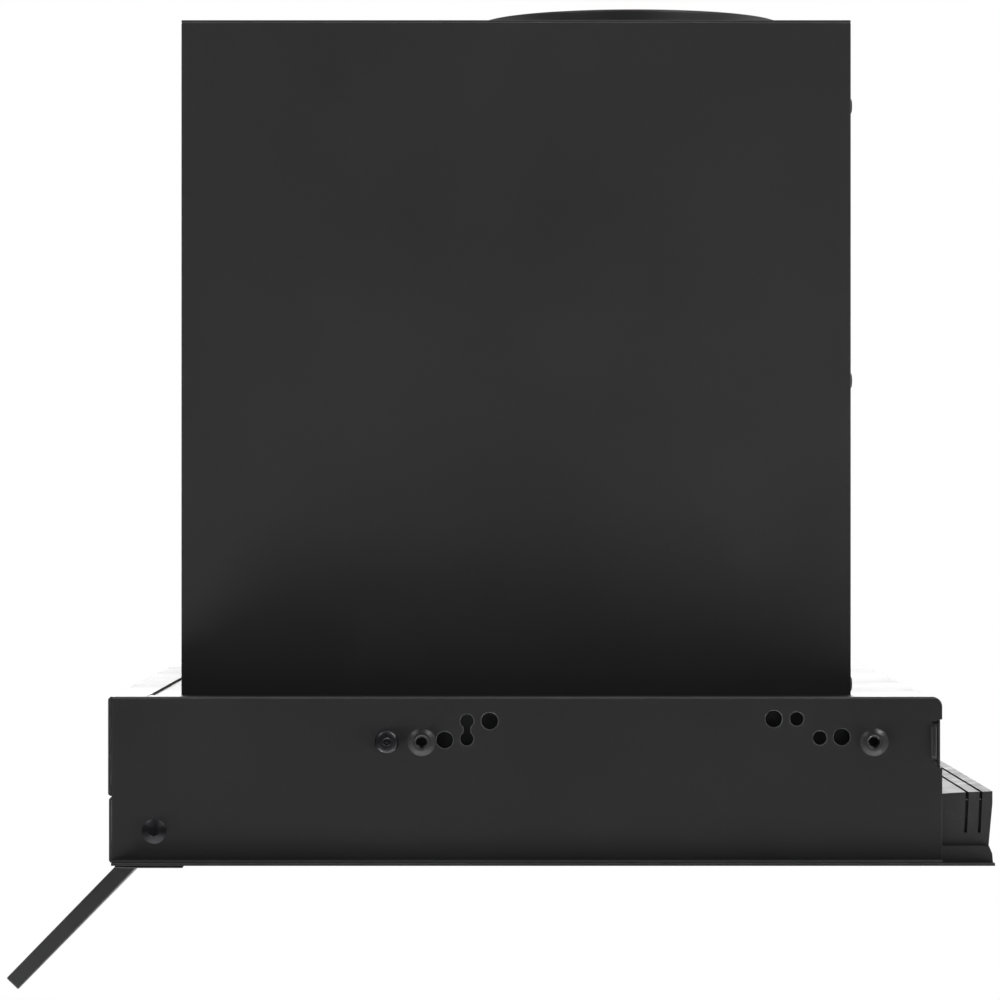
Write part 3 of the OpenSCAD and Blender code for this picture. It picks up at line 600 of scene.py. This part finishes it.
def expanded_metal(bm, low, high, z, cell, strand, ripple, turn):
    """Slit and stretched sheet: a lattice of diamonds with flat strands, pressed into shallow waves."""
    sheet = bmesh.new()
    nx, ny = round((high.x - low.x) / (cell[0] * MM)), round((high.y - low.y) / (cell[1] * MM))
    dx, dy = (high.x - low.x) / nx / 2, (high.y - low.y) / ny / 2
    grid = {}

    def corner(i, j):
        if (i, j) not in grid:
            grid[(i, j)] = sheet.verts.new((low.x + i * dx, low.y + j * dy, z))
        return grid[(i, j)]

    for i in range(1, 2 * nx):
        for j in range(1, 2 * ny):
            if (i + j) % 2 == 0:
                sheet.faces.new((corner(i - 1, j), corner(i, j - 1), corner(i + 1, j), corner(i, j + 1)))
    bmesh.ops.wireframe(sheet, faces=sheet.faces, thickness=strand * MM, offset=0, use_replace=True,
                        use_boundary=True, use_even_offset=True, use_relative_offset=False)
    for v in sheet.verts:
        along = v.co.y if turn else v.co.x
        v.co.z += ripple[0] * MM * math.sin(2 * math.pi * along / (ripple[1] * MM))
        v.co.z += 0.35 * strand * MM * math.sin(2 * math.pi * v.co.y / (2 * dy))
    mesh = bpy.data.meshes.new("sheet")
    sheet.to_mesh(mesh)
    sheet.free()
    add_mesh(bm, mesh)


def filter_pieces(side):
    body = "filter_" + side
    low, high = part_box("filter_mesh_" + side)
    rim = Vector((0.6, 0.6, 0)) * MM
    bm = bmesh.new()
    expanded_metal(bm, low + rim, high - rim, low.z + 0.1 * MM, (8.2, 4.7), 0.7, (0.0, 10), False)
    expanded_metal(bm, low + rim, high - rim, low.z + 1.9 * MM, (12.4, 7.1), 0.9, (0.7, 15.5), True)
    expanded_metal(bm, low + rim, high - rim, low.z + 3.6 * MM, (12.4, 7.1), 0.9, (0.7, 15.5), False)
    mesh = piece("expanded_mesh_" + side, bm, body, "filter_aluminium", 50)
    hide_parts("filter_mesh_" + side)
    # rolled hem round the window, above and below the mesh
    flow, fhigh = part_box("filter_frame_" + side)
    hem = bmesh.new()
    for z in (flow.z - 0.15 * MM, fhigh.z + 0.15 * MM):
        corners = oblong((high.x - low.x) / MM + 3.4, (high.y - low.y) / MM + 3.4, 4, 0, 6)
        centre = (low + high) / 2
        path = [Vector((centre.x + p[0] * MM, centre.y + p[1] * MM, z)) for p in corners]
        add_mesh(hem, tube(path, 1.0, True, 3))
    piece("filter_hem_" + side, hem, body, "filter_aluminium", 60)
    # drain slots punched along the front bar, shown as shallow pressed eyelets
    eye = bmesh.new()
    x0, x1 = low.x + 8 * MM, high.x - 8 * MM
    for k in range(14):
        x = x0 + (x1 - x0) * k / 13
        if abs(x - (low.x + high.x) / 2) < 30 * MM:
            continue
        place = Matrix.Translation((x, flow.y + 12.5 * MM, flow.z + 0.1 * MM)) @ Matrix.Rotation(math.pi, 4, "X")
        loft(eye, [oblong(9, 4.4, 2.1, 0), oblong(8.6, 4.0, 1.9, 0.42), oblong(7.6, 3.0, 1.4, 0.42),
                   oblong(7.0, 2.4, 1.1, -0.4)], place)
    piece("filter_drains_" + side, eye, body, "filter_aluminium")
    # latch: rounded body with a ribbed finger pull
    llow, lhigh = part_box("filter_latch_" + side)
    cx = (llow.x + lhigh.x) / 2
    top = llow.z + 1.6 * MM
    grip = bmesh.new()
    place = Matrix.Translation((cx, at(0, 103, 0).y, top))
    rounded_bar(grip, 40, 8, 6.6, 1.2, place, 0.5)
    down = place @ Matrix.Rotation(math.pi, 4, "X")
    for k in range(7):
        rounded_bar(grip, 24 - 1.2 * abs(k - 3), 0.55, 1.6 - 0.25 * abs(k - 3), 0.25,
                    down @ Matrix.Translation((0, (k - 3) * 0.95 * MM, -0.1 * MM)), 0.2)
    tongue = Matrix.Translation((cx, (llow.y + at(0, 100, 0).y) / 2, top + 4.9 * MM))
    rounded_bar(grip, 16, (at(0, 100, 0).y - llow.y) / MM, 1.6, 0.8, tongue, 0.3)
    latch = piece("latch_grip_" + side, grip, "latch_" + side, "black_plastic")
    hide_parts("filter_latch_" + side)


for side in ("left", "right"):
    filter_pieces(side)

# ---------------------------------------------------------------- buttons and their marks


def button_cap(name, body, marks):
    """Cap with a rounded shoulder and a dished face, a stem behind it and a raised mark."""
    low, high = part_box(name)
    face = Matrix.Translation(((low.x + high.x) / 2, (low.y + high.y) / 2, low.z)) @ Matrix.Rotation(math.pi, 4, "X")
    w, d = (high.x - low.x) / MM, (high.y - low.y) / MM
    bm = bmesh.new()
    loft(bm, [oblong(w - 1, d - 1, 1.6, -6), oblong(w, d, 2, -5.6), oblong(w, d, 2, -0.9),
              oblong(w - 0.35, d - 0.35, 1.9, -0.35), oblong(w - 1.2, d - 1.2, 1.6, -0.05),
              oblong(w - 2.0, d - 2.0, 1.4, 0), oblong(w - 4.4, d - 3.6, 1.0, -0.22),
              oblong(w - 9, d - 6.4, 0.8, -0.42)], face)
    lathe(bm, [(3.2, -5.8), (3, -6.2), (3, -9.7), (2.7, -10)], face, 32)
    cap = piece(name + "_cap_piece", bm, body, "button_plastic")
    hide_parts(name)
    ink = bmesh.new()
    for path, closed in marks:
        points = [face @ (Vector((x, y, -0.4)) * MM) for x, y in path]
        add_mesh(ink, tube(points, 0.24, closed, 2))
    piece(name + "_mark", ink, body, "white_plastic")


def ring_path(cx, cy, r, start=0, sweep=360, count=24):
    closed = sweep == 360
    steps = count if closed else count + 1
    return [(cx + r * math.cos(math.radians(start + sweep * i / count)),
             cy + r * math.sin(math.radians(start + sweep * i / count))) for i in range(steps)], closed


power_mark = [ring_path(0, 0, 2.0, 120, 300), ([(0, 2.4), (0, 0.6)], False)]
lamp_mark = [ring_path(0, 0, 1.3)] + [
    ([(2.0 * math.cos(a), 2.0 * math.sin(a)), (2.7 * math.cos(a), 2.7 * math.sin(a))], False)
    for a in [k * math.pi / 4 for k in range(8)]]
button_cap("button_power", "button_power_cap", power_mark)
for n in (1, 2, 3):
    bars = [([((k - (n - 1) / 2) * 2.2, -1.6), ((k - (n - 1) / 2) * 2.2, 1.6)], False) for k in range(n)]
    button_cap(f"button_speed_{n}", f"button_speed_{n}_cap", bars)
button_cap("button_light", "button_light_cap", lamp_mark)

# ---------------------------------------------------------------- lamps

for side in ("left", "right"):
    low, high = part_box("lamp_lens_" + side)
    back = Vector(((low.x + high.x) / 2, (low.y + high.y) / 2, high.z))
    place = Matrix.Translation(back) @ Matrix.Rotation(math.pi, 4, "X")
    r = (high.x - low.x) / 2 / MM
    bm = bmesh.new()
    steps = [(r, 0), (r, 1.3)]
    for k in range(11):
        a, b = r * (1 - k / 11), r * (1 - (k + 0.75) / 11)
        crown = 1.5 + 0.85 * (1 - (a / r) ** 2)
        steps += [(a - 0.05, crown), (b, crown + 0.16)]
    steps.append((0.05, 2.4))
    lathe(bm, steps, place, 64)
    lens = piece("lamp_lens_piece_" + side, bm, "hood", "lamp_glass", 25)
    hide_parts("lamp_lens_" + side)

# ---------------------------------------------------------------- duct collar, dampers, gland

collar_place = Matrix.Translation(collar_axis + Vector((0, 0, TOP)))
barbs = bmesh.new()
for z in (12.5, 18.5):
    lathe(barbs, [(59.9, z - 1.0), (60.55, z + 0.5), (60.55, z + 0.9), (59.9, z + 1.3)], collar_place, 128, True)
for k in range(16):
    a = math.radians(22.5 * k + 11.25)
    spoke = collar_place @ Matrix.Rotation(a, 4, "Z") @ Matrix.Translation((62.7 * MM, 0, 2.3 * MM))
    loft(barbs, [oblong(5.6, 1.2, 0.3, 0, 2), oblong(5.0, 1.0, 0.3, 1.6, 2), oblong(0.8, 0.8, 0.3, 5.0, 2)],
         spoke @ Matrix.Translation((-0.2 * MM, 0, 0)))
piece("collar_barbs", barbs, "hood", "black_plastic")

for side, sign in (("front", -1), ("rear", 1)):
    low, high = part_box("damper_flap_" + side)
    top = at(0, 0, HOUSING_TOP_Z + 7.1).z
    bm = bmesh.new()
    for x, reach in ((-36, 34), (-18, 44), (0, 48), (18, 44), (36, 34)):
        place = Matrix.Translation((x * MM, collar_axis.y + sign * (13 + (reach - 13) / 2) * MM, top))
        rounded_bar(bm, 1.4, reach - 13, 1.5, 0.6, place, 0.5)
    rounded_bar(bm, 78, 1.4, 1.5, 0.6, Matrix.Translation((0, collar_axis.y + sign * 13.5 * MM, top)), 0.5)
    piece("damper_ribs_" + side, bm, "damper_" + side, "black_plastic")

glow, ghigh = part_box("cable_gland")
gland = Matrix.Translation(((glow.x + ghigh.x) / 2, (glow.y + ghigh.y) / 2, TOP))
bm = bmesh.new()
lathe(bm, [(4.2, 9.4), (5.6, 9.4), (5.9, 9.9), (5.6, 10.8), (4.9, 10.95), (4.4, 10.6), (4.1, 10.0)], gland, 40, True)
for k in range(12):
    rib = gland @ Matrix.Rotation(math.radians(30 * k), 4, "Z") @ Matrix.Translation((8.0 * MM, 0, 5 * MM))
    loft(bm, [oblong(1.6, 1.1, 0.4, 0, 2), [(x - 1.6, y, 3.6) for x, y, _ in oblong(1.2, 0.9, 0.3, 0, 2)]], rib)
piece("gland_grip", bm, "hood", "black_plastic")

# ---------------------------------------------------------------- pressed beads of the sheet metal


def bead(bm, origin, axis, along, length, width, height):
    """A long pressed bead with round ends and a soft crown; local X runs along it."""
    z = Vector(axis)
    x = Vector(along)
    turn = Matrix((x, z.cross(x), z)).transposed().to_4x4()
    place = Matrix.Translation(origin) @ turn
    rings = []
    for t in (0, 0.12, 0.3, 0.55, 0.8, 0.95):
        inset = width * 0.5 * (1 - math.cos(t * math.pi / 2)) * 0.9
        rings.append(oblong(length - 2 * inset, width - 2 * inset, max(width / 2 - inset - 0.01, 0.05),
                            height * math.sin(t * math.pi / 2) - (0.15 if t == 0 else 0), 8))
    loft(bm, rings, place)


beads = bmesh.new()
for x in (-232, -150, 150, 232):
    bead(beads, at(x, 165, HOUSING_TOP_Z), (0, 0, 1), (0, 1, 0), 120, 9, 1.1)
piece("housing_top_beads", beads, "hood", "housing_paint")

# ---------------------------------------------------------------- blower details

fan = middle("impeller")
for side, s in (("left", -1), ("right", 1)):
    low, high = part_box("scroll_casing_" + side)
    outer = high.x if s > 0 else low.x
    place = frame_of(Vector((outer, fan.y, fan.z)), (s, 0, 0))
    bm = bmesh.new()
    lathe(bm, [(60.2, -6), (60.3, 0.2), (61.5, 2.0), (63.5, 2.6), (66, 2.0), (67, 0.1), (67, -0.1), (61.6, -0.1),
               (61.3, -6)] if s > 0 else
          [(60.2, -6), (60.2, -0.3), (61, -0.3), (61, -6)], place, 96, True)
    for k in range(10):
        a = math.radians(36 * k + 12)
        rivet = place @ Matrix.Translation((78 * MM * math.cos(a), 78 * MM * math.sin(a), 0))
        lathe(bm, [(2.4, -0.1), (2.4, 0.5), (1.9, 0.9), (1.0, 1.1), (0.1, 1.1)], rivet, 20)
    piece("inlet_ring_" + side, bm, "hood", "galvanised")

# ---------------------------------------------------------------- stage and light

floor_mesh = bmesh.new()
bmesh.ops.create_grid(floor_mesh, x_segments=24, y_segments=24, size=3.0)
floor_data = bpy.data.meshes.new("floor")
floor_mesh.to_mesh(floor_data)
floor_mesh.free()
floor = bpy.data.objects.new("floor", floor_data)
floor.location = (0, 0, RIM - 0.65)
scene.collection.objects.link(floor)
stage_mat = bpy.data.materials.new("floor_paper")
stage_mat.use_nodes = True
tree = stage_mat.node_tree
tree.nodes.clear()
out = tree.nodes.new("ShaderNodeOutputMaterial")
paper = tree.nodes.new("ShaderNodeBsdfDiffuse")
paper.inputs["Color"].default_value = (0.8, 0.8, 0.8, 1)
white = tree.nodes.new("ShaderNodeEmission")
white.inputs["Color"].default_value = (1, 1, 1, 1)
clear = tree.nodes.new("ShaderNodeBsdfTransparent")
rays = tree.nodes.new("ShaderNodeLightPath")
facing = tree.nodes.new("ShaderNodeNewGeometry")
seen, one_sided = tree.nodes.new("ShaderNodeMixShader"), tree.nodes.new("ShaderNodeMixShader")
for a, b in ((rays.outputs["Is Camera Ray"], seen.inputs[0]), (paper.outputs[0], seen.inputs[1]),
             (white.outputs[0], seen.inputs[2]), (facing.outputs["Backfacing"], one_sided.inputs[0]),
             (seen.outputs[0], one_sided.inputs[1]), (clear.outputs[0], one_sided.inputs[2]),
             (one_sided.outputs[0], out.inputs["Surface"])):
    tree.links.new(a, b)
floor_data.materials.append(stage_mat)

AMBIENT = 0.08
BACKDROP = 1.0
world = bpy.data.worlds.new("studio")
world.use_nodes = True
scene.world = world
tree = world.node_tree
tree.nodes.clear()
out = tree.nodes.new("ShaderNodeOutputWorld")
rays = tree.nodes.new("ShaderNodeLightPath")
coord = tree.nodes.new("ShaderNodeTexCoord")
split = tree.nodes.new("ShaderNodeSeparateXYZ")
glow = tree.nodes.new("ShaderNodeMapRange")
for key, value in (("From Min", 0.45), ("From Max", 0.9), ("To Min", AMBIENT), ("To Max", BACKDROP)):
    glow.inputs[key].default_value = value
flip = tree.nodes.new("ShaderNodeMath")
flip.operation = "MULTIPLY"
flip.inputs[1].default_value = -1.0
soft = tree.nodes.new("ShaderNodeBackground")
white = tree.nodes.new("ShaderNodeBackground")
for shade in (soft, white):
    shade.inputs["Color"].default_value = (1, 1, 1, 1)
both = tree.nodes.new("ShaderNodeMixShader")
for a, b in ((coord.outputs["Generated"], split.inputs[0]), (split.outputs["X"], flip.inputs[0]),
             (flip.outputs[0], glow.inputs["Value"]), (glow.outputs[0], soft.inputs["Strength"]),
             (rays.outputs["Is Camera Ray"], both.inputs[0]), (soft.outputs[0], both.inputs[1]),
             (white.outputs[0], both.inputs[2]), (both.outputs[0], out.inputs["Surface"])):
    tree.links.new(a, b)


def softbox(name, place, aim, size, power, glossy=True):
    data = bpy.data.lights.new(name, "AREA")
    data.shape = "RECTANGLE"
    data.size, data.size_y = size
    data.energy = power
    lamp = bpy.data.objects.new(name, data)
    lamp.location = place
    lamp.rotation_euler = (Vector(aim) - Vector(place)).to_track_quat("-Z", "Y").to_euler()
    lamp.visible_camera = False
    lamp.visible_glossy = glossy
    scene.collection.objects.link(lamp)


POWER = {"low_left": 80, "low_right": 53, "high_left": 6, "high_right": 12, "top": 12, "front": 8, "rear": 4,
         "far_side": 14, "under": 3}
wall = at(285, 140, 150)
softbox("low_left", at(420, -640, -580), wall, (0.2, 0.5), POWER["low_left"], False)
softbox("low_right", at(420, 1080, -340), wall, (0.2, 0.5), POWER["low_right"], False)
softbox("high_left", at(1100, -800, 1150), wall, (0.4, 0.4), POWER["high_left"])
softbox("high_right", at(1100, 1050, 1150), wall, (0.4, 0.4), POWER["high_right"])
softbox("top", at(0, 140, 1900), at(0, 140, 0), (1.6, 1.6), POWER["top"])
softbox("front", at(-300, -2200, 700), at(0, 100, 120), (1.4, 1.0), POWER["front"])
softbox("rear", at(-400, 2300, 700), at(0, 100, 120), (1.4, 1.0), POWER["rear"])
softbox("far_side", at(-2200, 100, 600), at(-200, 100, 120), (1.2, 1.2), POWER["far_side"])
softbox("under", at(0, 100, -560), at(0, 140, 0), (1.6, 1.2), POWER["under"])
